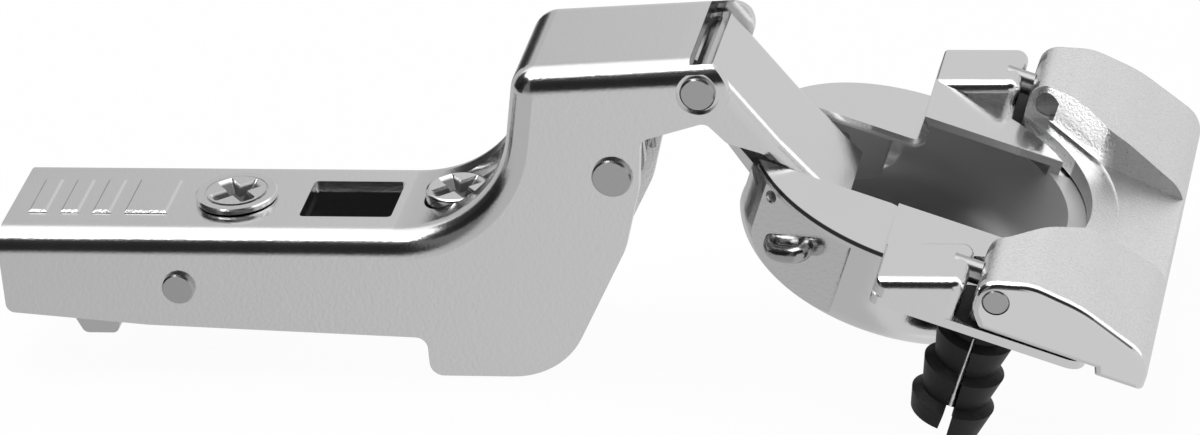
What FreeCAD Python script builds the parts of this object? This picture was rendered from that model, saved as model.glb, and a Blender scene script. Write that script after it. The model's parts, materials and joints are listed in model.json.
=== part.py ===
import FreeCAD, Part
import math
import os

from FreeCAD import Placement, Rotation, Vector

# Concealed cup hinge, cranked arm, shown fully open.
# Layout frame while drawing: x runs from the arm's tail end to the cup, y is the pin axis,
# z is up and z = 0 is the tail's top face. Every solid is moved to the seat at the end.

# Sheet and fits
SHEET = 1.3
FIT = 0.05
GAP = 0.3
SEAT_GAP = 0.12

# Hinge arm
ARM_WIDTH = 18.0
ARM_BEND = 2.8
TAIL_RISE_X = 55.2
REAR_ANGLE = 80.0
CONCAVE_R = 13.6
CREST_Z = 19.46
CREST_R = 3.0
TOP_SLOPE = 3.4
WEB_END_X = 77.8
EAR_R = 3.3
EAR_LOWER_SLOPE = 17.0
TAIL_DEPTH = 9.5
TAIL_DEPTH_FRONT = 12.1
SKIRT_X = 46.7
SKIRT_DEPTH = 16.7
SKIRT_NOSE_X = 61.2
SKIRT_NOSE_R = 9.0
WINDOW_X = (32.7, 42.9)
WINDOW_HALF = 4.1
STRIPE_X = 2.3
STRIPE_PITCH = 3.6
STRIPE_WIDTH = 2.1
STRIPE_COUNT = 3
PATCH_WIDTH = 4.8
STRIPE_HALF = 3.8
EMBOSS = 0.3

# Pivots on the arm
KNUCKLE = (78.66, 17.32)
KNUCKLE_R = 1.25
KNUCKLE_HEAD_R = 1.9
KNUCKLE_RING_R = 2.3
KNUCKLE_RING_DEPTH = 0.5
INNER_PIVOT = (68.78, 7.66)
INNER_PIN_R = 1.5
INNER_HEAD_R = 2.15
CATCH_PIVOT = (19.8, -6.2)
CATCH_PIN_R = 1.2
CATCH_HEAD_R = 1.78
HEAD_STANDS = 0.65

# Adjusting screws
DEPTH_X = 24.9
DEPTH_RIM_R = 4.5
DEPTH_RIM_T = 0.75
DEPTH_SHANK_R = 2.2
DEPTH_TRAVEL = 2.0
SIDE_X = 49.6
SIDE_TOP_Z = 1.7
SIDE_HEAD_R = 3.5
SIDE_HEAD_T = 1.3
SIDE_SHANK_R = 2.1
CROSS_LENGTH = 6.0
CROSS_WIDTH = 1.8
CROSS_DEPTH = 1.2
CROSS_TURN = 40.0

# Carrier rail inside the arm
RAIL_SHEET = 1.0
RAIL_BEND = 1.5
RAIL_X = (8.0, 53.2)
RAIL_DEPTH = 9.0
RAIL_OPEN_X = 22.6
SEAT_X = 31.2

# Links
LINK_SIDE_GAP = 0.6
LINK_HALF = ARM_WIDTH / 2 - SHEET - LINK_SIDE_GAP
LINK_SHEET = 1.0
LINK_BEND = 1.6
LINK_START = (80.0, 19.8)
LINK_FOLD = (86.8, 10.6)
LINK_END = (92.4, 3.9)
LINK_EYE_R = 2.2
INNER_HALF = 4.6
NECK_HALF = 3.2
NECK_X = 74.0
INNER_SLOT_HALF = 3.5
INNER_EYE_R = 2.9
INNER_END = (85.65, -0.6)
INNER_END_R = 2.35
INNER_PLAY = (2.95, 4.5)
INNER_PLAY_AT = (84.15, -2.15)

# Cup, in its own frame: u away from the door's edge, v along the pins, w out of the door
CUP_X = 99.9
CUP_Z = 3.32
CUP_TILT = 20.4
CUP_R = 17.5
CUP_DEPTH = 12.0
CUP_WALL = 0.9
CUP_FLOOR_R = 5.0
FLANGE_T = 1.0
FLANGE_R = 18.1
MOUTH_HALF = LINK_HALF + 0.35
MOUTH_LEFT_U = -16.2
LIP_NOTCH = 3.2
LINK_PASSAGE = 8.6
POCKET_HALF = 10.0
RAISE_U = -1.2
RAISE_W = 1.7
HUMP_END_U = 7.8
HUMP_SLOPE = 20.4
PLATE_END_U = 21.9
FACET_LEFT = (-15.0, 9.0)
FACET_RIGHT = (-4.5, 15.6)
VENT_U = -14.1
VENT_W = -2.7
VENT_R = 0.7
OUTER_PIN = (-9.0, -5.16)
INNER_PIN = (-12.41, -7.27)
STAPLE_R = 0.95
WIRE_LOOP = ((-11.73, -8.09, 0.71), (-11.53, -8.33, 1.07), (-8.87, -8.64, 0.68), (-7.13, -7.23, 0.87),
             (-6.79, -5.44, 0.37), (-7.67, -4.75, 0.28))

# Cover lever, dowels and their drive
LEVER_HALF = 27.5
LEVER_PIVOT = (11.1, 3.95)
LEVER_RIVET_R = 1.65
LEVER_END_U = 28.2
LEVER_WALL = 1.3
RING_R = 18.6
LIP_R = 21.4
BRACKET_V = (18.5, LEVER_HALF - LEVER_WALL - 1.0)
HUMP_V = (18.0, LEVER_HALF - 0.5)
BRACKET_T = 0.8
LUG_R = 1.75
HUB_R = 2.2
DOWEL_U = 10.4
DOWEL_V = 22.5
DOWEL_R = 4.1
DOWEL_LENGTH = 13.6
DOWEL_SHORT = 1.3
DOWEL_BARBS = 3
DOWEL_SPREAD = 2.0
SPREADER_R = 1.1
SPREADER_LENGTH = 10.4
ROD_R = 1.25
ROD_V = 21.6
ROD_W = 3.35

PARTS = {}


def keep(name, shape):
    """Store one sub-part under its node name."""
    PARTS[name] = shape.removeSplitter() if hasattr(shape, "removeSplitter") else shape


def corner(centre, radius, first, second):
    """Vertex of the two tangents to a circle whose normals point at two angles in degrees."""
    middle = math.radians((first + second) / 2)
    reach = radius / math.cos(math.radians((first - second) / 2))
    return (centre[0] + reach * math.cos(middle), centre[1] + reach * math.sin(middle), radius)


def rounded_edges(points, to3d):
    """Edges of a closed polygon whose vertices (a, b, radius) are rounded by tangent arcs."""
    count = len(points)
    flat = [Vector(p[0], p[1], 0) for p in points]
    radii = [p[2] if len(p) > 2 else 0 for p in points]
    backs = [(flat[i - 1] - flat[i]).normalize() for i in range(count)]
    aheads = [(flat[(i + 1) % count] - flat[i]).normalize() for i in range(count)]
    halves = [backs[i].getAngle(aheads[i]) / 2 for i in range(count)]
    reaches = [radii[i] / math.tan(halves[i]) for i in range(count)]
    limited = list(reaches)
    for i in range(count):
        following = (i + 1) % count
        room = (flat[following] - flat[i]).Length
        needed = reaches[i] + reaches[following]
        if needed > room:
            limited[i] = min(limited[i], reaches[i] * room / needed)
            limited[following] = min(limited[following], reaches[following] * room / needed)
    joints = []
    for i in range(count):
        reach = limited[i]
        if reach <= 0:
            joints.append((flat[i], None, flat[i]))
            continue
        bisector = (backs[i] + aheads[i]).normalize()
        away = reach / math.cos(halves[i]) - reach * math.tan(halves[i])
        joints.append((flat[i] + backs[i] * reach, flat[i] + bisector * away, flat[i] + aheads[i] * reach))
    edges = []
    for i in range(count):
        start, middle, end = joints[i]
        if middle is not None:
            edges.append(Part.Arc(to3d(start), to3d(middle), to3d(end)).toShape())
        following = joints[(i + 1) % count][0]
        if (following - end).Length > 1e-6:
            edges.append(Part.LineSegment(to3d(end), to3d(following)).toShape())
    return edges


def side_prism(points, low, high):
    """Solid with a rounded outline in the x-z plane, from y = low to y = high."""
    edges = rounded_edges(points, lambda p: Vector(p.x, low, p.y))
    return Part.Face(Part.Wire(edges)).extrude(Vector(0, high - low, 0))


def plan_prism(points, low, high):
    """Solid with a rounded outline in the x-y plane, from z = low to z = high."""
    edges = rounded_edges(points, lambda p: Vector(p.x, p.y, low))
    return Part.Face(Part.Wire(edges)).extrude(Vector(0, 0, high - low))


def box(x, y, z):
    """Box from three (low, high) pairs."""
    return Part.makeBox(x[1] - x[0], y[1] - y[0], z[1] - z[0], Vector(x[0], y[0], z[0]))


def pin_y(at, radius, low, high):
    """Cylinder along y."""
    return Part.makeCylinder(radius, high - low, Vector(at[0], low, at[1]), Vector(0, 1, 0))


def pin_z(x, y, radius, low, high):
    """Cylinder along z."""
    return Part.makeCylinder(radius, high - low, Vector(x, y, low), Vector(0, 0, 1))


def both_sides(shape):
    """A shape and its mirror image across y = 0, as a list."""
    return [shape, shape.mirror(Vector(0, 0, 0), Vector(0, 1, 0))]


def fuse_all(shapes):
    """One solid from several that touch or overlap."""
    return shapes[0].fuse(shapes[1:]).removeSplitter()


def cross_recess(x, top):
    """Tapered cross recess for a screwdriver, cut downwards from z = top."""
    arms = []
    for turn in (0, 90):
        long_half, wide_half = CROSS_LENGTH / 2, CROSS_WIDTH / 2
        upper = [(-long_half, -wide_half, 0.3), (long_half, -wide_half, 0.3),
                 (long_half, wide_half, 0.3), (-long_half, wide_half, 0.3)]
        shrink = 0.5
        wires = []
        for scale, height in ((1.0, top), (shrink, top - CROSS_DEPTH)):
            points = [(a * scale, b * scale, r * scale) for a, b, r in upper]
            edges = rounded_edges(points, lambda p, h=height: Vector(p.x, p.y, h))
            wires.append(Part.Wire(edges))
        arm = Part.makeLoft(wires, True)
        arm.rotate(Vector(0, 0, 0), Vector(0, 0, 1), turn + CROSS_TURN)
        arm.translate(Vector(x, 0, 0))
        arms.append(arm)
    return arms[0].fuse(arms[1])


# The arm's folded channel


def web_region(depth, front, low):
    """Region under the arm's web path, offset inwards by a depth, closed below at z = low."""
    lean = math.radians(REAR_ANGLE)
    slope = math.tan(math.radians(TOP_SLOPE))
    rear_x = TAIL_RISE_X + depth / math.sin(lean)
    run = 1 / math.tan(lean)
    foot = (rear_x - depth * run, -depth)
    crest_x0 = TAIL_RISE_X + CREST_Z * run
    top_z = CREST_Z - depth / math.cos(math.radians(TOP_SLOPE))
    crest_x = (rear_x + run * (top_z - slope * crest_x0)) / (1 - run * slope)
    crest = (crest_x, top_z + slope * (crest_x - crest_x0))
    end = (front, top_z + slope * (front - crest_x0))
    start = 0.0 if depth == 0 else -2.0
    return [(start, -depth), (foot[0], foot[1], CONCAVE_R + depth),
            (crest[0], crest[1], CREST_R - depth), end, (front, low), (start, low)]


def top_bend_edges(solid, region, half):
    """Long edges of the web, on both sides, that the sheet's bend replaces."""
    chosen = []
    low = region[-1][1]
    ends = (region[0][0], region[3][0])
    for edge in solid.Edges:
        spots = [edge.valueAt(edge.FirstParameter + (edge.LastParameter - edge.FirstParameter) * t)
                 for t in (0.0, 0.5, 1.0)]
        on_side = all(abs(abs(p.y) - half) < 1e-6 for p in spots)
        at_low = all(abs(p.z - low) < 1e-6 for p in spots)
        at_end = any(all(abs(p.x - end) < 1e-6 for p in spots) for end in ends)
        if on_side and not at_low and not at_end:
            chosen.append(edge)
    return chosen


def folded(region, half, bend):
    """Solid over a region with the two long web edges rounded by the bend radius."""
    solid = side_prism(region, -half, half)
    return solid.makeFillet(bend, top_bend_edges(solid, region, half))


def arm_outline():
    """Rounded outline of the arm's side walls."""
    top = 90 + TOP_SLOPE
    lower = EAR_LOWER_SLOPE - 90
    middle = (top + lower) / 2
    slope = math.tan(math.radians(EAR_LOWER_SLOPE))
    tangent = corner(KNUCKLE, EAR_R, lower, lower)
    throat_x = 72.1
    throat_z = tangent[1] + slope * (throat_x - tangent[0])
    return [(0.0, 30.0), (KNUCKLE[0] - 4, 30.0), (KNUCKLE[0] - 4, KNUCKLE[1] + EAR_R - 0.2),
            corner(KNUCKLE, EAR_R, top, middle), corner(KNUCKLE, EAR_R, middle, lower),
            (throat_x, throat_z, 1.3), (71.5, 6.2, 6.0), (69.4, -1.2, 4.0),
            (SKIRT_NOSE_X, -SKIRT_DEPTH, SKIRT_NOSE_R), (SKIRT_X, -SKIRT_DEPTH, 1.5),
            (SKIRT_X, -TAIL_DEPTH_FRONT, 1.3), (0.34 * SKIRT_X, -TAIL_DEPTH - 1.4),
            (0.0, -TAIL_DEPTH, 1.0)]


def embossed_patches():
    """Raised grip stripes and the larger patch on the tail's top."""
    spans = [(STRIPE_X + i * STRIPE_PITCH, STRIPE_WIDTH) for i in range(STRIPE_COUNT)]
    spans.append((STRIPE_X + STRIPE_COUNT * STRIPE_PITCH, PATCH_WIDTH))
    patches = []
    for left, width in spans:
        patch = box((left, left + width), (-STRIPE_HALF, STRIPE_HALF), (-0.3, EMBOSS))
        edges = [e for e in patch.Edges if e.BoundBox.ZMin > EMBOSS - 1e-6]
        patches.append(patch.makeChamfer(EMBOSS * 0.8, edges))
    return patches


def hinge_arm():
    """Cranked arm: one folded sheet with window, screw slots, ears and grip stripes."""
    half = ARM_WIDTH / 2
    outer = folded(web_region(0, 84.0, -24.0), half, ARM_BEND)
    inner = folded(web_region(SHEET, 86.0, -26.0), half - SHEET, ARM_BEND - SHEET)
    arm = outer.cut(inner).common(side_prism(arm_outline(), -half - 1, half + 1))
    arm = arm.cut(box((WEB_END_X, 90), (SHEET - half, half - SHEET), (14, 30)))
    arm = arm.cut(plan_prism([(WINDOW_X[0], -WINDOW_HALF, 0.5), (WINDOW_X[1], -WINDOW_HALF, 0.5),
                              (WINDOW_X[1], WINDOW_HALF, 0.5), (WINDOW_X[0], WINDOW_HALF, 0.5)],
                             -3, 1))
    arm = arm.cut(pin_z(DEPTH_X, 0, DEPTH_SHANK_R, -3, 1))
    slot_half = SIDE_HEAD_R + 0.25
    arm = arm.cut(plan_prism([(SIDE_X - slot_half, -slot_half, slot_half - 0.1),
                              (SIDE_X + 8, -slot_half, 2.5), (SIDE_X + 8, slot_half, 2.5),
                              (SIDE_X - slot_half, slot_half, slot_half - 0.1)], -4, 12))
    for at, radius in ((KNUCKLE, KNUCKLE_R), (INNER_PIVOT, INNER_PIN_R), (CATCH_PIVOT, CATCH_PIN_R)):
        arm = arm.cut(pin_y(at, radius, -half - 1, half + 1))
    arm = arm.cut(pin_y(KNUCKLE, KNUCKLE_RING_R, -half - 1, -half + KNUCKLE_RING_DEPTH))
    keep("hinge_arm", fuse_all([arm] + embossed_patches()))


def arm_pins():
    """Riveted pins: link pivot at the ears, inner link pivot and catch pivot."""
    half = ARM_WIDTH / 2
    shank = pin_y(KNUCKLE, KNUCKLE_R, -half + 0.2, half + 0.5)
    head = pin_y(KNUCKLE, KNUCKLE_HEAD_R, -half - 0.05, -half + KNUCKLE_RING_DEPTH)
    head = head.makeChamfer(0.2, [e for e in head.Edges if e.BoundBox.YMax < -half])
    rosette = pin_y(KNUCKLE, KNUCKLE_HEAD_R, half, half + HEAD_STANDS)
    keep("knuckle_pin", fuse_all([shank, head, rosette]))
    for name, at, radius, head_radius in (("link_pin", INNER_PIVOT, INNER_PIN_R, INNER_HEAD_R),
                                          ("catch_pin", CATCH_PIVOT, CATCH_PIN_R, CATCH_HEAD_R)):
        pieces = [pin_y(at, radius, -half, half)]
        near = pin_y(at, head_radius, -half - HEAD_STANDS, -half)
        near = near.makeChamfer(0.18, [e for e in near.Edges if e.BoundBox.YMax < -half - 0.3])
        pieces.append(near)
        pieces.append(near.mirror(Vector(0, 0, 0), Vector(0, 1, 0)))
        keep(name, fuse_all(pieces))


def depth_screw():
    """Wide cam screw on the tail: rim, domed centre, cross recess and shank."""
    base = SEAT_GAP
    top = base + DEPTH_RIM_T
    rim = pin_z(DEPTH_X, 0, DEPTH_RIM_R, base, top)
    rim = rim.makeChamfer(0.15, [e for e in rim.Edges if e.BoundBox.ZLength < 1e-6])
    groove = pin_z(DEPTH_X, 0, DEPTH_RIM_R * 0.78, top - 0.3, top + 1)
    centre = pin_z(DEPTH_X, 0, DEPTH_RIM_R * 0.73, top - 0.4, top + 0.1)
    rim = rim.cut(groove).fuse(centre)
    rim = rim.cut(cross_recess(DEPTH_X, top + 0.12))
    rail_low = -SHEET - SEAT_GAP - RAIL_SHEET
    shank = pin_z(DEPTH_X, 0, DEPTH_SHANK_R - FIT, rail_low - 1.0, base + 0.1)
    core = pin_z(DEPTH_X, 0, DEPTH_RIM_R * 0.6, base, top - 0.35)
    drive = cross_recess(DEPTH_X, top + 0.12)
    keep("depth_screw", fuse_all([rim, shank, core.cut(drive)]).cut(drive))


def side_screw():
    """Front screw that shifts the arm sideways: slotted head in the arm's front slot."""
    low = SIDE_TOP_Z - SIDE_HEAD_T
    head = pin_z(SIDE_X, 0, SIDE_HEAD_R, low, SIDE_TOP_Z)
    head = head.makeFillet(0.45, [e for e in head.Edges if e.BoundBox.ZMin > SIDE_TOP_Z - 1e-6
                                  and e.BoundBox.ZLength < 1e-6])
    head = head.cut(cross_recess(SIDE_X, SIDE_TOP_Z + 0.02))
    shank = pin_z(SIDE_X, 0, SIDE_SHANK_R, -TAIL_DEPTH, low + 0.1)
    keep("side_screw", fuse_all([head, shank]).cut(cross_recess(SIDE_X, SIDE_TOP_Z + 0.02)))


def carrier_rail():
    """Folded rail inside the arm, with the seat on its underside and hooks at its front."""
    half = ARM_WIDTH / 2 - SHEET - SEAT_GAP * 2
    top = -SHEET - SEAT_GAP
    left, right = RAIL_X
    low = top - RAIL_DEPTH
    shell = box((left, right), (-half, half), (low - 6, top))
    shell = shell.makeFillet(RAIL_BEND, [e for e in shell.Edges if e.BoundBox.ZMin > top - 1e-6
                                         and e.BoundBox.XLength > 5])
    inside = half - RAIL_SHEET
    hollow = box((left - 1, right + 1), (-inside, inside), (low - 7, top - RAIL_SHEET))
    hollow = hollow.makeFillet(RAIL_BEND - RAIL_SHEET,
                               [e for e in hollow.Edges if e.BoundBox.XLength > 5
                                and e.BoundBox.ZMin > top - RAIL_SHEET - 1e-6])
    outline = [(left, 2), (left, -RAIL_DEPTH + 1.5, 1.0), (SKIRT_X - 3.5, -RAIL_DEPTH + 1.5, 2.0),
               (SKIRT_X - 2.5, low - 1.6, 1.0), (SKIRT_X + 0.3, low - 1.6, 0.6),
               (SKIRT_X + 0.3, low + 1.6, 1.2), (SKIRT_X + 3.1, low + 1.6, 1.2),
               (SKIRT_X + 3.1, low - 0.8, 0.6), (right, low - 0.8, 1.0), (right, 2)]
    rail = shell.cut(hollow).common(side_prism(outline, -half - 1, half + 1))
    slot = DEPTH_SHANK_R + DEPTH_TRAVEL + 0.3
    rail = rail.cut(plan_prism([(DEPTH_X - slot, -DEPTH_SHANK_R - FIT, DEPTH_SHANK_R),
                                (DEPTH_X + slot, -DEPTH_SHANK_R - FIT, DEPTH_SHANK_R),
                                (DEPTH_X + slot, DEPTH_SHANK_R + FIT, DEPTH_SHANK_R),
                                (DEPTH_X - slot, DEPTH_SHANK_R + FIT, DEPTH_SHANK_R)], -6, 1))
    rail = rail.cut(plan_prism([(WINDOW_X[0] - 0.1, -WINDOW_HALF - 0.3, 0.5),
                                (WINDOW_X[1] + 0.3, -WINDOW_HALF - 0.3, 0.5),
                                (WINDOW_X[1] + 0.3, WINDOW_HALF + 0.3, 0.5),
                                (WINDOW_X[0] - 0.1, WINDOW_HALF + 0.3, 0.5)], -6, 1))
    open_half = half - RAIL_SHEET - 0.01
    rail = rail.cut(box((left - 1, RAIL_OPEN_X), (-open_half, open_half), (-6, 1)))
    fork = SIDE_SHANK_R + 0.1
    rail = rail.cut(plan_prism([(SIDE_X - fork - DEPTH_TRAVEL - 0.2, -fork, fork - 0.05),
                                (right + 1, -fork), (right + 1, fork),
                                (SIDE_X - fork - DEPTH_TRAVEL - 0.2, fork, fork - 0.05)], -6, 1))
    pin_slot = CATCH_PIN_R + DEPTH_TRAVEL + 0.3
    at_x, at_z = CATCH_PIVOT
    tall = CATCH_PIN_R + FIT
    rail = rail.cut(side_prism([(at_x - pin_slot, at_z - tall, CATCH_PIN_R),
                                (at_x + pin_slot, at_z - tall, CATCH_PIN_R),
                                (at_x + pin_slot, at_z + tall, CATCH_PIN_R),
                                (at_x - pin_slot, at_z + tall, CATCH_PIN_R)], -half - 1, half + 1))
    keep("carrier_rail", rail)


def release_catch():
    """Sprung lever at the tail: thumb plate, two cheeks on the catch pin and the hook below."""
    half = ARM_WIDTH / 2 - SHEET - SEAT_GAP * 2 - RAIL_SHEET - GAP
    thick = RAIL_SHEET
    outline = [(-1.1, -7.4, 0.8), (1.2, -5.4, 1.5), (CATCH_PIVOT[0], CATCH_PIVOT[1] + 2.4, 0),
               corner(CATCH_PIVOT, 2.4, 90, 0), corner(CATCH_PIVOT, 2.4, 0, -90),
               (12.2, -10.0, 1.5), (11.4, -13.5, 0.8), (7.6, -13.5, 0.8), (6.4, -10.9, 0.8),
               (-0.2, -10.7, 0.6)]
    body = side_prism(outline, -half, half)
    outline_in = [(-3, -2), (-3, -4), (1.4, -6.6), (2.2, -12.5), (30, -14), (30, -2)]
    body = body.cut(side_prism(outline_in, -half + thick, half - thick).cut(
        box((5.8, 12.8), (-half, half), (-20, -10.2))))
    body = body.cut(pin_y(CATCH_PIVOT, CATCH_PIN_R + FIT, -half - 1, half + 1))
    keep("release_catch", body)


def spiral(centre, radius, wire, turns, start_y, leg_back, leg_front):
    """Torsion spring about y: a helix of wire with two straight legs, as one swept solid."""
    pitch = wire * 1.12
    helix = Part.makeHelix(pitch, pitch * turns, radius)
    helix.rotate(Vector(0, 0, 0), Vector(1, 0, 0), -90)
    helix.translate(Vector(centre[0], start_y, centre[1]))
    first = helix.Edges[0]
    start = first.valueAt(first.FirstParameter)
    tangent = first.tangentAt(first.FirstParameter)
    profile = Part.Wire(Part.Circle(start, tangent, wire / 2).toShape())
    coil = Part.Wire(helix.Edges).makePipeShell([profile], True, True)
    last = helix.Edges[-1]
    end = last.valueAt(last.LastParameter)
    out = last.tangentAt(last.LastParameter)
    legs = [Part.makeCylinder(wire / 2, leg_back, start, tangent * -1),
            Part.makeCylinder(wire / 2, leg_front, end, out)]
    return fuse_all([coil] + legs)


def springs():
    """Catch return spring and the hinge's closing spring, both coiled on their pins."""
    keep("catch_spring", spiral(CATCH_PIVOT, CATCH_PIN_R + 0.55, 0.6, 5, -1.7, 3.0, 4.0))
    keep("closing_spring", spiral(INNER_PIVOT, INNER_PIN_R + 0.6, 0.8, 6, -2.75, 2.2, 2.4))


# The two links


def toward(point, direction, distance):
    """Point moved along a direction in the x-z plane."""
    length = math.hypot(*direction)
    return (point[0] + direction[0] * distance / length, point[1] + direction[1] * distance / length)


def link_region(depth):
    """Region under the outer link's web path, offset inwards by a depth."""
    first = (LINK_FOLD[0] - LINK_START[0], LINK_FOLD[1] - LINK_START[1])
    second = (LINK_END[0] - LINK_FOLD[0], LINK_END[1] - LINK_FOLD[1])
    reach = 8.0 if depth == 0 else 9.0
    inward_first = (first[1], -first[0])
    inward_second = (second[1], -second[0])
    begin = toward(toward(LINK_START, first, -reach), inward_first, depth)
    end = toward(toward(LINK_END, second, reach), inward_second, depth)
    turn = math.atan2(second[1], second[0]) - math.atan2(first[1], first[0])
    bisector = (inward_first[0] / math.hypot(*first) + inward_second[0] / math.hypot(*second),
                inward_first[1] / math.hypot(*first) + inward_second[1] / math.hypot(*second))
    fold = toward(LINK_FOLD, bisector, depth / math.cos(turn / 2))
    far = 22.0 if depth == 0 else 23.0
    return [begin, (fold[0], fold[1], 6.0), end, toward(end, inward_second, far),
            toward(begin, inward_first, far)]


def outer_pin_at():
    """Place of the outer cup pivot in the layout frame."""
    return cup_point(*OUTER_PIN)


def inner_pin_at():
    """Place of the inner cup pivot in the layout frame."""
    return cup_point(*INNER_PIN)


def cup_point(u, w):
    """Layout place (x, z) of a cup-frame place (u, w)."""
    tilt = math.radians(CUP_TILT)
    return (CUP_X + u * math.cos(tilt) + w * math.sin(tilt),
            CUP_Z - u * math.sin(tilt) + w * math.cos(tilt))


def link_bend_edges(solid, region, half):
    """The two edges of each side along the outer link's web."""
    lines = [(region[0], region[1]), (region[1], region[2])]
    chosen = []
    for edge in solid.Edges:
        if edge.BoundBox.YLength > 1e-6 or abs(abs(edge.BoundBox.YMin) - half) > 1e-6:
            continue
        middle = edge.valueAt((edge.FirstParameter + edge.LastParameter) / 2)
        for start, end in lines:
            run = (end[0] - start[0], end[1] - start[1])
            away = abs(run[0] * (middle.z - start[1]) - run[1] * (middle.x - start[0]))
            if away / math.hypot(*run) < 0.3:
                chosen.append(edge)
                break
    return chosen


def outer_link():
    """Folded channel link from the ears to the cup: web on top, eyed flanges at the sides."""
    outer_region, inner_region = link_region(0), link_region(LINK_SHEET)
    outer = side_prism(outer_region, -LINK_HALF, LINK_HALF)
    outer = outer.makeFillet(LINK_BEND, link_bend_edges(outer, outer_region, LINK_HALF))
    half = LINK_HALF - LINK_SHEET
    inner = side_prism(inner_region, -half, half)
    inner = inner.makeFillet(LINK_BEND - LINK_SHEET, link_bend_edges(inner, inner_region, half))
    pin = outer_pin_at()
    outline = [corner(KNUCKLE, 1.85, 95, 185), (76.85, 12.9, 1.2), (79.0, 12.9, 1.0),
               (81.0, 10.7, 1.2), (85.4, 9.3, 2.0), corner(pin, LINK_EYE_R, 190, 262),
               corner(pin, LINK_EYE_R, 262, 335), (LINK_END[0] + 0.1, LINK_END[1] - 1.5, 0.8),
               (LINK_END[0] + 1.6, LINK_END[1] + 0.4), (LINK_FOLD[0] + 3, LINK_FOLD[1] + 3),
               (LINK_START[0] + 1.9, LINK_START[1] + 1.3), (LINK_START[0] - 0.2, LINK_START[1] - 0.3),
               (KNUCKLE[0] + 0.3, KNUCKLE[1] + 1.87)]
    link = outer.cut(inner).common(side_prism(outline, -LINK_HALF - 1, LINK_HALF + 1))
    for at, radius in ((KNUCKLE, KNUCKLE_R), (pin, STAPLE_R)):
        link = link.cut(pin_y(at, radius + FIT, -LINK_HALF - 1, LINK_HALF + 1))
    keep("outer_link", link.cut(pin_y(KNUCKLE, KNUCKLE_R + 0.5, -half, half)))


def inner_link():
    """Goose-necked inner link: cheeks round the closing spring, slotted end on the inner pivot."""
    neck_right = [(71.4, 12.8, 1.8), (76.0, 12.8, 2.5), (79.6, 9.8, 8.0), (83.5, 3.4, 3.0)]
    neck_left = [(88.0, 2.9, 1.5), (84.6, 3.9, 1.6), (81.5, 8.3, 8.0), (78.7, 12.3, 8.0),
                 (76.2, 15.7, 3.0), (71.0, 16.9, 6.0), (65.9, 14.0, 3.5)]
    outline = ([corner(INNER_PIVOT, INNER_EYE_R, 180, 270), corner(INNER_PIVOT, INNER_EYE_R, 270, 356)]
               + neck_right + [corner(INNER_END, INNER_END_R, 180, 270),
                               corner(INNER_END, INNER_END_R, 270, 360)] + neck_left)
    link = side_prism(outline, -INNER_HALF, INNER_HALF)
    link = link.cut(pin_y(INNER_PIVOT, INNER_PIN_R + FIT, -INNER_HALF - 1, INNER_HALF + 1))
    link = link.cut(box((INNER_PIVOT[0] - INNER_EYE_R - 2, INNER_PIVOT[0] + INNER_EYE_R + 3),
                        (-INNER_SLOT_HALF, INNER_SLOT_HALF), (-2, INNER_PIVOT[1] + INNER_EYE_R + 0.5)))
    left, low = INNER_PLAY_AT
    right, high = left + INNER_PLAY[0], low + INNER_PLAY[1]
    play = side_prism([(left, low, 1.0), (right, low, 1.0), (right, high, 1.0), (left, high, 1.0)],
                      -INNER_HALF - 1, INNER_HALF + 1)
    for side in both_sides(box((NECK_X, 95), (NECK_HALF, INNER_HALF + 1), (-6, 20))):
        link = link.cut(side)
    keep("inner_link", link.cut(play))


# The cup, in its own frame


def cup_body():
    """Outside of the drawn cup with its flange, raised rim and humps, before hollowing."""
    body = pin_z(0, 0, CUP_R, -CUP_DEPTH, 0)
    body = body.makeFillet(CUP_FLOOR_R, [e for e in body.Edges if e.BoundBox.ZMax < -CUP_DEPTH + 1e-6])
    for facet in facets(0):
        body = body.cut(facet)
    flange = pin_z(0, 0, FLANGE_R, -FLANGE_T, 0)
    wings = plan_prism([(RAISE_U, -HUMP_V[1], 0.8), (PLATE_END_U, -HUMP_V[1], 2.0),
                        (PLATE_END_U, HUMP_V[1], 2.0), (RAISE_U, HUMP_V[1], 0.8)], -FLANGE_T, 0)
    ridge = pin_z(0, 0, CUP_R, -FLANGE_T, RAISE_W).common(
        box((RAISE_U, CUP_R + 1), (-CUP_R, CUP_R), (-FLANGE_T, RAISE_W)))
    return fuse_all([body, flange, wings, ridge] + humps(0))


def facet_v(u):
    """Distance of the facet's plane from the middle plane at a place along the cup."""
    slope = (FACET_RIGHT[1] - FACET_LEFT[1]) / (FACET_RIGHT[0] - FACET_LEFT[0])
    return FACET_LEFT[1] + slope * (u - FACET_LEFT[0])


def facets(depth):
    """What the two slanted facets beside the pivots take off, offset inwards by a depth."""
    lean = math.atan2(FACET_RIGHT[1] - FACET_LEFT[1], FACET_RIGHT[0] - FACET_LEFT[0])
    shift = depth / math.cos(lean)
    right = FACET_RIGHT[0] + depth
    outline = [(-30.0, facet_v(-30.0) - shift), (right, facet_v(right) - shift, 0.7),
               (right, 30.0), (-30.0, 30.0)]
    return both_sides(plan_prism(outline, -CUP_DEPTH - 1, -FLANGE_T))


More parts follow.
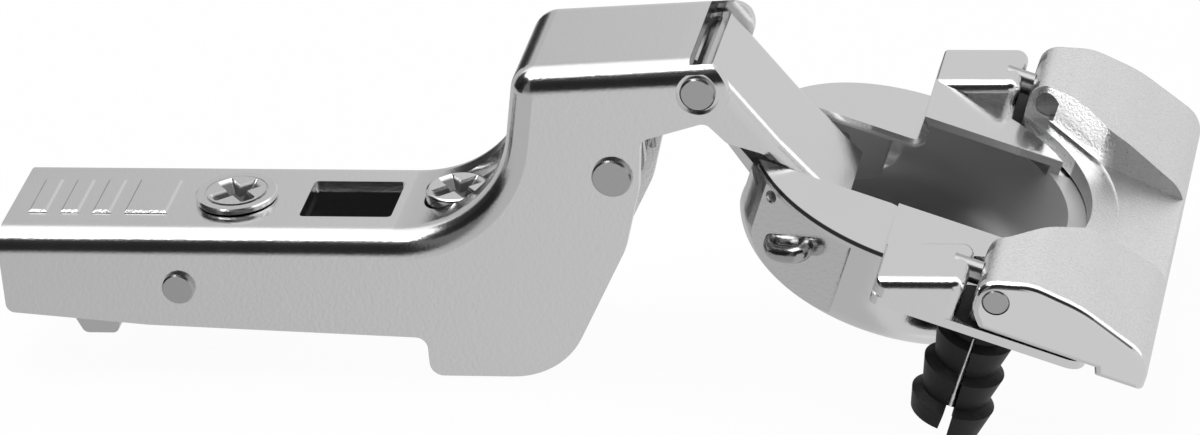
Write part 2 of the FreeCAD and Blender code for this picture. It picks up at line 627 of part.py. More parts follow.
def humps(depth):
    """The two wedge-shaped humps over the dowels, offset inwards by a depth."""
    rise = math.tan(math.radians(HUMP_SLOPE))
    left, right = RAISE_U + depth, HUMP_END_U - depth
    low = -FLANGE_T if depth == 0 else -FLANGE_T - 1
    high_left = RAISE_W - depth
    high_right = RAISE_W + rise * (HUMP_END_U - RAISE_U) - depth * 1.2
    outline = [(left, low), (right, low), (right, high_right, 1.2 if depth == 0 else 0.3),
               (left, high_left, 0.3 if depth == 0 else 0)]
    wedge = side_prism(outline, HUMP_V[0] + depth, HUMP_V[1] - depth)
    if depth == 0:
        wedge = wedge.makeFillet(1.2, [e for e in wedge.Edges if e.BoundBox.ZMin > RAISE_W - 0.1
                                       and e.BoundBox.XLength > 5 and e.BoundBox.YLength < 1e-6])
        shelf = box((left, right), (POCKET_HALF, HUMP_V[0] + 1), (low, RAISE_W))
        wedge = wedge.fuse(shelf)
    else:
        shelf = box((left, right), (CUP_R - 1.5, HUMP_V[0] + depth + 0.1), (low, RAISE_W - depth))
        wedge = wedge.fuse(shelf)
    return both_sides(wedge)


def cup_cavity():
    """Inside of the cup: floor, mouth for the links and the wider pocket for the arm's ears."""
    inner_r = CUP_R - CUP_WALL
    low = -CUP_DEPTH + CUP_WALL
    room = pin_z(0, 0, inner_r, low, -FLANGE_T)
    room = room.makeFillet(CUP_FLOOR_R - CUP_WALL,
                           [e for e in room.Edges if e.BoundBox.ZMax < low + 1e-6])
    for facet in facets(CUP_WALL):
        room = room.cut(facet)
    under = pin_z(0, 0, inner_r, -FLANGE_T - 0.1, RAISE_W - CUP_WALL).common(
        box((RAISE_U + CUP_WALL, CUP_R), (-CUP_R, CUP_R), (-FLANGE_T - 0.1, RAISE_W)))
    mouth = plan_prism([(MOUTH_LEFT_U, -MOUTH_HALF, 1.5), (RAISE_U, -MOUTH_HALF, 1.5),
                        (RAISE_U + 1.5, -POCKET_HALF, 2.0), (CUP_R + 3, -POCKET_HALF),
                        (CUP_R + 3, POCKET_HALF), (RAISE_U + 1.5, POCKET_HALF, 2.0),
                        (RAISE_U, MOUTH_HALF, 1.5), (MOUTH_LEFT_U, MOUTH_HALF, 1.5)],
                       -FLANGE_T - 0.5, RAISE_W + 1)
    mouth = mouth.common(pin_z(0, 0, inner_r, -3, 4))
    notch = box((-CUP_R - 3, MOUTH_LEFT_U + 2), (-MOUTH_HALF, MOUTH_HALF), (-LIP_NOTCH, 1))
    passage = box((-CUP_R - 3, MOUTH_LEFT_U + 3), (-NECK_HALF - GAP * 2, NECK_HALF + GAP * 2),
                  (-LINK_PASSAGE, 1))
    ridge_ends = [box(reach, (-POCKET_HALF, POCKET_HALF), (0, RAISE_W + 1))
                  for reach in ((RAISE_U - 0.1, RAISE_U + 3.2), (CUP_R - 6.5, CUP_R + 0.6))]
    return fuse_all([room, under, mouth, notch, passage] + ridge_ends)


def cup():
    """Drawn steel cup: one sheet with flange, humps, mouth, pivot holes and dowel holes."""
    shell = cup_body().cut(cup_cavity())
    for hollow in humps(CUP_WALL):
        shell = shell.cut(hollow.cut(pin_z(0, 0, CUP_R, -CUP_DEPTH, RAISE_W - CUP_WALL)))
    for at in (OUTER_PIN, INNER_PIN):
        shell = shell.cut(pin_y(at, STAPLE_R, -CUP_R, CUP_R))
    slope = (FACET_RIGHT[1] - FACET_LEFT[1]) / (FACET_RIGHT[0] - FACET_LEFT[0])
    for sign in (-1, 1):
        shell = shell.cut(pin_z(DOWEL_U, sign * DOWEL_V, DOWEL_R + 0.25, -3, 0.5))
        middle = Vector(VENT_U, sign * facet_v(VENT_U), VENT_W)
        across = Vector(-slope, sign, 0)
        across.normalize()
        shell = shell.cut(Part.makeCylinder(VENT_R, 3, middle - across * 1.5, across))
        shell = shell.cut(rod(sign, 0.0))
    keep_cup("cup", shell)


def keep_cup(name, shape):
    """Store a sub-part drawn in the cup's frame, moved to its place in the layout."""
    placed = shape.copy()
    placed.Placement = Placement(Vector(CUP_X, 0, CUP_Z), Rotation(Vector(0, 1, 0), CUP_TILT)) \
        .multiply(placed.Placement)
    keep(name, placed)


def cup_staple():
    """Bent wire outside the near wall: its long leg is the inner pivot, its short leg the outer."""
    stub = INNER_HALF + GAP * 2
    lean = math.atan2(FACET_RIGHT[1] - FACET_LEFT[1], FACET_RIGHT[0] - FACET_LEFT[0])
    clear = STAPLE_R * math.tan(lean) + 0.08
    away = (STAPLE_R + FIT) / math.cos(lean)
    start = Vector(INNER_PIN[0], -facet_v(INNER_PIN[0]) - clear, INNER_PIN[1])
    end = Vector(OUTER_PIN[0], -facet_v(OUTER_PIN[0]) - clear, OUTER_PIN[1])
    spots = [start] + [Vector(u, -facet_v(u) - away - out, w) for u, w, out in WIRE_LOOP] + [end]
    curve = Part.BSplineCurve()
    curve.interpolate(spots, InitialTangent=Vector(0, -1, 0), FinalTangent=Vector(0, 1, 0))
    profile = Part.Wire(Part.Circle(start, Vector(0, 1, 0), STAPLE_R).toShape())
    loop = Part.Wire(curve.toShape()).makePipeShell([profile], True, True)
    legs = [pin_y(INNER_PIN, STAPLE_R, start.y, facet_v(INNER_PIN[0]) + 1.2),
            pin_y(OUTER_PIN, STAPLE_R, end.y, -stub)]
    keep_cup("cup_staple", fuse_all(legs + [loop]))
    shank = pin_y(OUTER_PIN, STAPLE_R, stub, facet_v(OUTER_PIN[0]) + 0.9)
    keep_cup("cup_stub", shank)


# Cover lever, bracket, rivets, dowels and draw rods


def lever_outline():
    """Side outline of the cast lever in the cup frame (u, w)."""
    return [(LEVER_PIVOT[0] - HUB_R, 2.0, 2.0), (10.3, 0.25, 0.6), (22.8, 0.15), (23.1, -0.7, 0.2),
            (LEVER_END_U, -0.7, 0.5), (LEVER_END_U, 3.2, 3.6), (19.6, 6.4, 14.0),
            (14.0, 7.1, 6.0), corner(LEVER_PIVOT, HUB_R, 107, 180)]


def cover_lever():
    """Cast lever over the dowels: two wings joined by a lower web behind the cup's mouth."""
    body = side_prism(lever_outline(), -LEVER_HALF, LEVER_HALF)
    long_edges = [e for e in body.Edges if e.BoundBox.YLength < 1e-6 and e.BoundBox.ZMin > 3.0
                  and e.BoundBox.XMin > LEVER_PIVOT[0]]
    body = body.makeFillet(0.8, long_edges)
    web_top = 2.5
    pocket = plan_prism([(0, -17.4), (10.4, -17.4, 1.5), (18.4, -10.8, 4.0), (30, -8.6), (30, 8.6),
                         (18.4, 10.8, 4.0), (10.4, 17.4, 1.5), (0, 17.4)], web_top, 12)
    body = body.cut(pocket)
    body = body.cut(pin_z(0, 0, LIP_R, web_top - 0.25, web_top + 0.1).common(
        box((0, 40), (-17.4, 17.4), (-5, 12))))
    body = body.cut(pin_z(0, 0, RING_R, -5, web_top + 0.1))
    hub_end = LEVER_PIVOT[0] + HUB_R
    inside = side_prism([(hub_end, -2), (22.0, -2), (22.0, 3.6, 1.0), (19.2, 5.0, 6.0),
                         (14.2, 5.6, 0.5), (hub_end, 5.6)], BRACKET_V[0] - GAP * 2, LEVER_HALF - LEVER_WALL)
    foot = box((5, 22), (BRACKET_V[0] - GAP * 2, LEVER_HALF - LEVER_WALL), (-2, RAISE_W + GAP))
    for hollow in both_sides(inside) + both_sides(foot):
        body = body.cut(hollow)
    under = plan_prism([(0, -19), (21.9, -19), (21.9, 19), (0, 19)], -5, GAP)
    body = body.cut(under)
    for slot_v in BRACKET_V:
        near, far = slot_v - 0.7, slot_v + 0.7
        slots = [pin_y(LEVER_PIVOT, LUG_R + 0.1, near, far),
                 box((LEVER_PIVOT[0] - 4, LEVER_PIVOT[0] + LUG_R + 0.1), (near, far), (-2, LEVER_PIVOT[1])),
                 box((LEVER_PIVOT[0] - 4, LEVER_PIVOT[0]), (near, far), (-2, LEVER_PIVOT[1] + 1.45))]
        for slot in slots:
            for side in both_sides(slot):
                body = body.cut(side)
    for side in both_sides(pin_y(LEVER_PIVOT, LEVER_RIVET_R - 0.25 + FIT, 16, LEVER_HALF + 1)):
        body = body.cut(side)
    keep_cup("cover_lever", body)


def brackets():
    """Folded bracket on each wing: base on the flange and two lugs that carry the lever's rivet."""
    base = box((LEVER_PIVOT[0] - 2.0, 18.5), BRACKET_V, (0, BRACKET_T))
    base = base.cut(pin_z(DOWEL_U, DOWEL_V, SPREADER_R + 0.6, -1, 3))
    lug = [(LEVER_PIVOT[0] - LUG_R, 0), (LEVER_PIVOT[0] + LUG_R, 0),
           corner(LEVER_PIVOT, LUG_R, 0, 90), corner(LEVER_PIVOT, LUG_R, 90, 180)]
    pieces = [base]
    for place in BRACKET_V:
        pieces.append(side_prism(lug, place - BRACKET_T / 2, place + BRACKET_T / 2))
    bracket = fuse_all(pieces).cut(pin_y(LEVER_PIVOT, LEVER_RIVET_R - 0.25, 10, 30))
    for name, shape in zip(("dowel_bracket_far", "dowel_bracket_near"), both_sides(bracket)):
        keep_cup(name, shape)


def lever_rivets():
    """Stepped rivet of each wing, flush with the lever's side."""
    inner = LEVER_RIVET_R - 0.25
    rivet = pin_y(LEVER_PIVOT, inner, BRACKET_V[0] - 1.0, LEVER_HALF + 0.05)
    rivet = rivet.makeChamfer(0.15, [e for e in rivet.Edges if e.BoundBox.YMin > LEVER_HALF])
    for name, shape in zip(("lever_rivet_far", "lever_rivet_near"), both_sides(rivet)):
        keep_cup(name, shape)


def dowel_profile(length):
    """Half outline (radius, depth) of a barbed dowel leg, from the flange down."""
    barb = length / (DOWEL_BARBS + 0.35)
    points = [(0, 0), (DOWEL_R * 0.8, 0), (DOWEL_R * 0.8, -barb * 0.35)]
    depth = barb * 0.35
    for _ in range(DOWEL_BARBS):
        points.append((DOWEL_R, -depth - barb * 0.16))
        points.append((DOWEL_R * 0.78, -depth - barb))
        depth += barb
    points.append((0, -depth))
    return points


def dowels():
    """Black barbed dowel of each wing, split into two legs that the spreader holds apart."""
    points = [Vector(r, 0, z) for r, z in dowel_profile(DOWEL_LENGTH)]
    wire = Part.makePolygon(points + [points[0]])
    whole = Part.Face(wire).revolve(Vector(0, 0, 0), Vector(0, 0, 1), 360)
    legs = []
    for sign in (-1, 1):
        low = -DOWEL_LENGTH if sign > 0 else DOWEL_SHORT - DOWEL_LENGTH
        half = whole.common(box((0.12, 6) if sign > 0 else (-6, -0.12), (-6, 6), (low, 1)))
        half = half.cut(pin_z(0, 0, SPREADER_R + FIT * 2, -20, 1))
        half = half.cut(pin_z(0, 0, SPREADER_R + 0.9, -20, 2.4 - SPREADER_LENGTH))
        half.rotate(Vector(0, 0, 0), Vector(0, 1, 0), -sign * DOWEL_SPREAD)
        legs.append(half.common(box((-8, 8), (-8, 8), (-30, 0))))
    collar = pin_z(0, 0, DOWEL_R * 0.8, -0.9, 0).cut(pin_z(0, 0, SPREADER_R + FIT * 2, -2, 1))
    neck = pin_z(0, 0, DOWEL_R + 0.2, 0, FLANGE_T - 0.05).cut(
        pin_z(0, 0, SPREADER_R + FIT * 2, -2, 2))
    dowel = fuse_all([collar, neck] + legs)
    spreader = pin_z(0, 0, SPREADER_R, -SPREADER_LENGTH, FLANGE_T + BRACKET_T + 0.9)
    tip = Part.makeCone(SPREADER_R + 0.5, SPREADER_R, 2.0, Vector(0, 0, -SPREADER_LENGTH))
    spreader = fuse_all([spreader, tip])
    for name, sign in (("near", -1), ("far", 1)):
        for node, shape in (("dowel_" + name, dowel), ("spreader_" + name, spreader)):
            copy = shape.copy()
            copy.translate(Vector(DOWEL_U, sign * DOWEL_V, -FLANGE_T))
            keep_cup(node, copy)


def rod(sign, clearance):
    """Short rod from a hump to the lever's hub."""
    return Part.makeCylinder(ROD_R + clearance, 3.1, Vector(HUMP_END_U - 2.0, sign * ROD_V, ROD_W),
                             Vector(1, 0, 0))


def draw_rods():
    """The rod of each wing."""
    for name, sign in (("draw_rod_near", -1), ("draw_rod_far", 1)):
        keep_cup(name, rod(sign, 0.0))


def build():
    """Draw every sub-part, move it to the seat and write it."""
    hinge_arm()
    arm_pins()
    depth_screw()
    side_screw()
    carrier_rail()
    release_catch()
    springs()
    outer_link()
    inner_link()
    cup()
    cup_staple()
    cover_lever()
    brackets()
    lever_rivets()
    dowels()
    draw_rods()
    os.makedirs("parts", exist_ok=True)
    seat = Vector(-SEAT_X, 0, SHEET + SEAT_GAP + RAIL_SHEET)
    for name, shape in PARTS.items():
        moved = shape.copy()
        moved.translate(seat)
        solids = moved.Solids
        print(name, "solids", len(solids), "valid", moved.isValid(), "volume", round(moved.Volume, 1))
        moved.exportStep("parts/" + name + ".step")


build()
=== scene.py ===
"""Looks of a concealed cup hinge: plated sheet steel, satin casting and black dowels in a white studio."""

import json
import math

import bmesh
import bpy
import numpy as np
from mathutils import Matrix, Vector


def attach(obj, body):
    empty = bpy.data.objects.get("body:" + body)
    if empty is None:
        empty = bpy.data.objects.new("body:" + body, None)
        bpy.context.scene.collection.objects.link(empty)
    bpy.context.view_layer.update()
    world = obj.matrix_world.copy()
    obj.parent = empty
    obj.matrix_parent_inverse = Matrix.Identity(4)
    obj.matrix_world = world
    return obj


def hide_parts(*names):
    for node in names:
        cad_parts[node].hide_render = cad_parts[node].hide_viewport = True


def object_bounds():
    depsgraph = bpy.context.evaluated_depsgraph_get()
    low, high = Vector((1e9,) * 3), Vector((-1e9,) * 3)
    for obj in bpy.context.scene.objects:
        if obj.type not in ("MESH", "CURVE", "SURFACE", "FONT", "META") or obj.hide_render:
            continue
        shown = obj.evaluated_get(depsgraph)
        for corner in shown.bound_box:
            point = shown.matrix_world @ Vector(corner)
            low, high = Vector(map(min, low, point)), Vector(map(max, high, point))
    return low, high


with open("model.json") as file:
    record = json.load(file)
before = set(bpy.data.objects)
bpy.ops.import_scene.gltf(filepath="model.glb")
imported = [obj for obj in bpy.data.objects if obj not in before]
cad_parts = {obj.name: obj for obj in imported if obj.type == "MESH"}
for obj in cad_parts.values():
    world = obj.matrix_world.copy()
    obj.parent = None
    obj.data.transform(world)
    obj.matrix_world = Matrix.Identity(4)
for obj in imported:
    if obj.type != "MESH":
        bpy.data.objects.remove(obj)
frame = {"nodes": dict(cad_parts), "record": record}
cad_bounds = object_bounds()

# Fitted camera, in the arm's layout frame: angles in degrees, lengths in millimetres
SEAT = (31.2, 0.0, -2.42)
AZIMUTH = 13.08
ELEVATION = 27.33
ROLL = -5.57
FOCAL_PX = 6370.0
DISTANCE = 685.0
TARGET = (64.95, 0.0, -2.0)
PHOTO_WIDTH = 1200
SENSOR_WIDTH = 36.0

# Cup frame, in the same layout: its centre in the door's face and its tilt
CUP_AT = (99.9, 3.32)
CUP_TILT = 20.4

# Edges of the masks over the cup where shade and a dark reflected line are painted, each from and to, in
# millimetres of the cup's frame
BOWL_CORNER_RADIUS = 12.5
BOWL_CORNER_DEPTH = 7.0
BOWL_WALL = (4.4, 4.7)
BOWL_TOP = (-0.9, -0.4)
FACET_SLOPE = 0.6286
FACET_OFFSET = 18.43
FACET_EDGE = (-0.7, -0.4)
RING_EDGE = (18.62, 18.72)
RING_START = (9.0, 10.0)
RING_SIDE = (10.0, 10.3)
RING_TOP = (2.1, 2.25)
RIM_OUTSIDE = (17.85, 17.98)
RIM_LOW = (-0.62, -0.5)
RIM_HIGH = (-0.09, -0.03)
RIM_END = (-1.2, -1.0)
CASTING_SIDE = (26.75, 27.1)

# Adjusting screws: each one's place along the arm and its top, and the edges of their recesses, where shade
# is painted
SCREW_TOPS = ((-6.3, 3.39), (18.4, 4.12))
RECESS_OUTSIDE = (3.1, 3.2)
RECESS_BELOW = (0.42, 0.14)

# Edges of the rail's inside under the arm's window, where shade is painted
RAIL_START = (-2.5, -1.5)
RAIL_STOP = (16, 18)
RAIL_SIDE = (6.9, 7.1)

# Staple in the cup's frame: its two pivots, its wire, its loop and where its two legs start and end
STAPLE_PIVOTS = ((-12.41, -7.27), (-9.0, -5.16))
STAPLE_R = 0.95
STAPLE_END_SHARE = 0.8
STAPLE_FACE = 10.7
STAPLE_SLANT = 0.5345
STAPLE_REACH = 2.1
STAPLE_ROUNDNESS = 2.7
LONG_LEG = (11.8, -10.6)
SHORT_LEG = (-12.9, -5.2)
STAPLE_RINGS = 240
STAPLE_SIDES = 28

# Cycles per metre of the finishes' textures
HAZE = 90
FINE = 2600
RIPPLE = 420
FROST = 3600
CASTING_CLOUD = 260
GRAIN = 1800
PLASTIC_CLOUD = 150

# Tones of the studio's bands as the metal mirrors them
FAR_TONE = 0.62
CEILING_TONE = 1.35
ZENITH_TONE = 0.8
FRONT_TONE = 0.6
FLAG_DARK = 0.975
SIDE_LIGHT = (0.86, 1.12)
NEAR_LEFT_LIGHT = (0.72, 1.0)

# Edges of the studio's bands, in degrees round the x axis
CEILING_START = (42, 60)
CEILING_END = (101, 108)
FRONT_START = (170, 192)

# Edges of its flags and of its grey zenith, as parts of a direction of length one
SIDE_EDGE = (-0.31, -0.17)
NEAR_LEFT_START = (-0.48, -0.38)
NEAR_SPLIT = (-0.06, 0.0)
NEAR_HIGH_END = (0.72, 0.82)
NEAR_HIGH_LOW = (0.3, 0.42)
LEFT_END_START = (-0.62, -0.52)
LEFT_END_MIDDLE = 0.1
LEFT_END_SIDE = (0.4, 0.5)
LEFT_END_LOW = (-0.16, -0.06)
LEFT_END_HIGH = (0.68, 0.76)
FAR_LEFT_START = (-0.62, -0.56)
FAR_LEFT_END = (-0.46, -0.37)
FAR_LEFT_SIDE = (0.7, 0.78)
FAR_LEFT_LOW = (-0.34, -0.26)
FAR_LEFT_HIGH = (0.24, 0.36)
ZENITH_EDGE = (0.07, 0.13)

# Floor and lamp, in metres and watts
FLOOR_GAP = 0.0005
FLOOR_REACH = 1.6
FLOOR_TONE = 0.85
FLOOR_WHITE = 0.96
LAMP_PLACE = (-0.25, -0.1, 0.9)
LAMP_AIM = (0.03, 0, 0)
LAMP_SIZE = 0.6
LAMP_POWER = 4.0

# Camera


def aim_camera():
    """Camera on a turned and tilted ray through the target, rolled about that ray."""
    a, e, r = (math.radians(v) for v in (AZIMUTH, ELEVATION, ROLL))
    right = Vector((math.cos(a), math.sin(a), 0))
    back = Vector((math.sin(a) * math.cos(e), -math.cos(a) * math.cos(e), math.sin(e)))
    up = back.cross(right)
    across = right * math.cos(r) + up * math.sin(r)
    above = up * math.cos(r) - right * math.sin(r)
    place = (Vector(TARGET) - Vector(SEAT) + back * DISTANCE) / 1000
    data = bpy.data.cameras.new("camera")
    data.sensor_width = SENSOR_WIDTH
    data.lens = FOCAL_PX / PHOTO_WIDTH * SENSOR_WIDTH
    data.clip_start = 0.05
    data.clip_end = 20.0
    camera = bpy.data.objects.new("camera", data)
    turn = Matrix((across, above, back)).transposed().to_4x4()
    camera.matrix_world = Matrix.Translation(place) @ turn
    bpy.context.scene.collection.objects.link(camera)
    bpy.context.scene.camera = camera


# Shader maths


class Flow:
    """A value in a shader: arithmetic on it adds Math nodes."""

    def __init__(self, shader, socket):
        self.shader, self.socket = shader, socket

    def op(self, kind, *others):
        values = [other.socket if isinstance(other, Flow) else other for other in (self, *others)]
        return Flow(self.shader, self.shader.node("ShaderNodeMath", {"operation": kind},
                                                  dict(enumerate(values)))["Value"])

    def __add__(self, other):
        return self.op("ADD", other)

    __radd__ = __add__

    def __mul__(self, other):
        return self.op("MULTIPLY", other)

    def __sub__(self, other):
        return self.op("SUBTRACT", other)

    def __rsub__(self, other):
        return (self * -1) + other

    def __pow__(self, other):
        return self.op("POWER", other)

    def size(self):
        return self.op("ABSOLUTE")

    def clamped(self):
        return self.op("MAXIMUM", 0.0).op("MINIMUM", 1.0)


def grey(tone):
    return (tone, tone, tone, 1)


class Shader:
    """Node tree of one material or of the world, filled through one node-making method."""

    def __init__(self, owner):
        owner.use_nodes = True
        self.tree = owner.node_tree
        self.tree.nodes.clear()

    def node(self, kind, settings=None, inputs=None):
        """Adds a node, applies its settings, then its values or links; returns its outputs."""
        made = self.tree.nodes.new(kind)
        for name, value in (settings or {}).items():
            setattr(made, name, value)
        for name, value in (inputs or {}).items():
            socket = made.inputs[name]
            if isinstance(value, Flow):
                value = value.socket
            if isinstance(value, bpy.types.NodeSocket):
                self.tree.links.new(value, socket)
            else:
                socket.default_value = value
        return made.outputs

    def value(self, socket):
        return Flow(self, socket)

    def where(self):
        return self.node("ShaderNodeTexCoord")["Object"]

    def millimetres(self):
        """The place on the part along x, y and z, in millimetres."""
        axes = self.node("ShaderNodeSeparateXYZ", None, {"Vector": self.where()})
        return [self.value(axes[i]) * 1000 for i in range(3)]

    def noise(self, cycles, detail, roughness):
        """Noise of so many cycles per metre over the part."""
        place = self.node("ShaderNodeMapping", None, {"Vector": self.where(),
                                                      "Scale": (cycles, cycles, cycles)})["Vector"]
        return self.value(self.node("ShaderNodeTexNoise", None, {
            "Vector": place, "Scale": 1.0, "Detail": detail, "Roughness": roughness})["Fac"])

    def step(self, value, low, high, at_low=0.0, at_high=1.0):
        return self.value(self.node("ShaderNodeMapRange", {"interpolation_type": "SMOOTHSTEP"}, {
            "Value": value, "From Min": low, "From Max": high,
            "To Min": at_low, "To Max": at_high})["Result"])

    def above(self, value, edge):
        """Zero below the edge and one above it."""
        return self.step(value, *edge)

    def below(self, value, edge):
        """One below the edge and zero above it."""
        return self.step(value, *edge, 1.0, 0.0)

    def mix(self, factor, first, second):
        """Blend of two colours; the node's sockets share names, so they are taken by number."""
        return self.node("ShaderNodeMix", {"data_type": "RGBA"}, {0: factor, 6: first, 7: second})[2]

    def bump(self, height, strength, distance):
        return self.node("ShaderNodeBump", None, {
            "Height": height, "Strength": strength, "Distance": distance})["Normal"]

    def straight_rays(self, path):
        """One where the camera sees this, also through something clear, and zero in mirrors and light."""
        return (self.value(path["Is Camera Ray"]) + self.value(path["Is Transmission Ray"])).clamped()

    def cup_place(self):
        """Millimetres from the cup's centre: away from the arm, along the pins and out of the door."""
        x, y, z = self.millimetres()
        along, up = x + (SEAT[0] - CUP_AT[0]), z + (SEAT[2] - CUP_AT[1])
        tilt = math.radians(CUP_TILT)
        return (along * math.cos(tilt) - up * math.sin(tilt), y,
                along * math.sin(tilt) + up * math.cos(tilt))

    def cup_painted_shade(self):
        """Mask of painted shade: one inside the cup's mouth and under the lever's ring, zero elsewhere."""
        u, v, w = self.cup_place()
        radius = (u * u + v * v) ** 0.5
        side = (radius - BOWL_CORNER_RADIUS).op("MAXIMUM", 0.0)
        low = (w * -1 - BOWL_CORNER_DEPTH).op("MAXIMUM", 0.0)
        wall = (side * side + low * low) ** 0.5
        facet = v.size() - u * FACET_SLOPE - FACET_OFFSET
        bowl = self.below(wall, BOWL_WALL) * self.below(facet, FACET_EDGE) * self.below(w, BOWL_TOP)
        end = (self.below(radius, RING_EDGE) * self.above(u, RING_START)
               * self.below(v.size(), RING_SIDE) * self.below(w, RING_TOP))
        return (bowl + end).clamped()

    def flange_rim_painted_reflection(self):
        """Mask of a painted dark reflected line: one on the upper half of the round flange's sheared rim,
        zero elsewhere.
        """
        u, v, w = self.cup_place()
        radius = (u * u + v * v) ** 0.5
        return (self.above(radius, RIM_OUTSIDE) * self.above(w, RIM_LOW)
                * self.below(w, RIM_HIGH) * self.below(u, RIM_END))

    def screw_recess_shade(self):
        """Mask of painted shade: one inside the cross recesses of the two adjusting screws, zero elsewhere.
        """
        x, y, z = self.millimetres()
        masks = []
        for place, top in SCREW_TOPS:
            radius = ((x - place) ** 2 + y * y) ** 0.5
            deep = [top - depth for depth in RECESS_BELOW]
            masks.append(self.below(radius, RECESS_OUTSIDE) * self.below(z, deep))
        return (masks[0] + masks[1]).clamped()

    def rail_inside_shade(self):
        """Mask of painted shade: one on the rail's inner faces under the arm's window, which are painted
        nearly black and matt, zero elsewhere.
        """
        x, y, z = self.millimetres()
        return self.above(x, RAIL_START) * self.below(x, RAIL_STOP) * self.below(y.size(), RAIL_SIDE)

    def finish(self, inputs):
        surface = self.node("ShaderNodeBsdfPrincipled", None, inputs)["BSDF"]
        self.node("ShaderNodeOutputMaterial", None, {"Surface": surface})


# Finishes


def new_material(name):
    material = bpy.data.materials.new(name)
    return material, Shader(material)


def bright_plate(name, tone, rough, painted_shades=()):
    """Bright nickel plating: near mirror, with a faint uneven haze and a very fine ripple.

    Each painted shade is a mask over the surface where shade or a dark reflected line is painted, its tone
    there, and how much duller the plating is.
    """
    material, s = new_material(name)
    haze = s.noise(HAZE, 3.0, 0.55)
    fine = s.noise(FINE, 2.0, 0.6)
    ripple = s.noise(RIPPLE, 2.0, 0.5)
    base = s.mix(haze, (tone * 0.965, tone * 0.965, tone * 0.97, 1), grey(tone))
    roughness = (haze * 0.06 + fine * 0.03 + (rough - 0.045)).clamped()
    metallic = 1.0
    # Painted shade: each mask darkens the plating's colour to its tone and dulls it
    for mask_of, deep, dull in painted_shades:
        mask = mask_of(s)
        base = s.mix(mask, base, grey(deep))
        roughness, metallic = roughness + mask * dull * 0.6, metallic - mask * dull
    s.finish({"Base Color": base, "Metallic": metallic, "Roughness": roughness,
              "Normal": s.bump(fine * 0.6 + ripple * 0.12, 0.06, 0.0004)})
    return material


def satin_metal(name, tone, rough, bump):
    """Satin casting: fine sparkling frost from blasting on its upper faces, bright plating at its sides, and
    painted shade where it lies over the cup's mouth.
    """
    material, s = new_material(name)
    blasted = s.below(s.millimetres()[1].size(), CASTING_SIDE)
    frost = s.noise(FROST, 2.0, 0.7)
    cloud = s.noise(CASTING_CLOUD, 3.0, 0.6)
    speckle = ((frost - 0.5) * 0.9 + (cloud - 0.5) * 0.2) * blasted + 0.5
    base = s.mix(speckle.clamped(), grey(tone * 0.8), grey(min(tone * 1.14, 1.0)))
    # Painted shade: the casting is painted darker and less metallic over the cup's mouth
    inside = s.cup_painted_shade()
    s.finish({"Base Color": s.mix(inside, base, grey(0.3)), "Metallic": 1 - inside * 0.5,
              "Roughness": ((frost * 0.16 + (rough - 0.08)) * blasted + (1 - blasted) * 0.16).clamped(),
              "Normal": s.bump(frost * blasted, bump, 0.0003)})
    return material


def black_plastic():
    """Matt black moulded plastic with a faint moulding texture."""
    material, s = new_material("black_plastic")
    grain = s.noise(GRAIN, 3.0, 0.6)
    cloud = s.noise(PLASTIC_CLOUD, 2.0, 0.5)
    base = s.mix(cloud, (0.006, 0.006, 0.0065, 1), (0.013, 0.013, 0.0135, 1))
    s.finish({"Base Color": base, "Roughness": (grain * 0.2 + 0.38).clamped(),
              "Specular IOR Level": 0.28, "Normal": s.bump(grain, 0.12, 0.0002)})
    return material


# The staple's wire


def in_cup(u, v, w):
    """Points of the cup's frame, in millimetres, as points of the part in metres."""
    tilt = math.radians(CUP_TILT)
    return np.stack([(CUP_AT[0] - SEAT[0] + u * math.cos(tilt) + w * math.sin(tilt)) / 1000, v / 1000,
                     (CUP_AT[1] - SEAT[2] - u * math.sin(tilt) + w * math.cos(tilt)) / 1000], axis=-1)


def staple_path(count):
    """Centre line of the staple, evenly spaced: two straight legs joined by a superelliptic loop.

    With t from 0 to pi, a place on the loop is half (1 - sign(cos t) |cos t|^p) from the first leg
    to the second, and reach |sin t|^p out of the slanted facet, with p = 2 / roundness.
    """
    first, second = (np.array(place) for place in STAPLE_PIVOTS)
    half, power = np.linalg.norm(second - first) / 2, 2 / STAPLE_ROUNDNESS
    t = np.linspace(0, math.pi, 400)
    along = half * (1 - np.sign(np.cos(t)) * np.abs(np.cos(t)) ** power)
    out = STAPLE_FACE + STAPLE_SLANT * along + STAPLE_REACH * np.abs(np.sin(t)) ** power
    along = np.concatenate([np.zeros(200), along, np.full(100, 2 * half)])
    side = np.concatenate([np.linspace(*LONG_LEG, 200), -out, np.linspace(*SHORT_LEG, 100)])
    place = first + along[:, None] * (second - first) / (2 * half)
    line = in_cup(place[:, 0], side, place[:, 1])
    walked = np.concatenate([[0], np.cumsum(np.linalg.norm(np.diff(line, axis=0), axis=1))])
    steps = np.linspace(0, walked[-1], count)
    return np.stack([np.interp(steps, walked, line[:, i]) for i in range(3)], axis=-1)


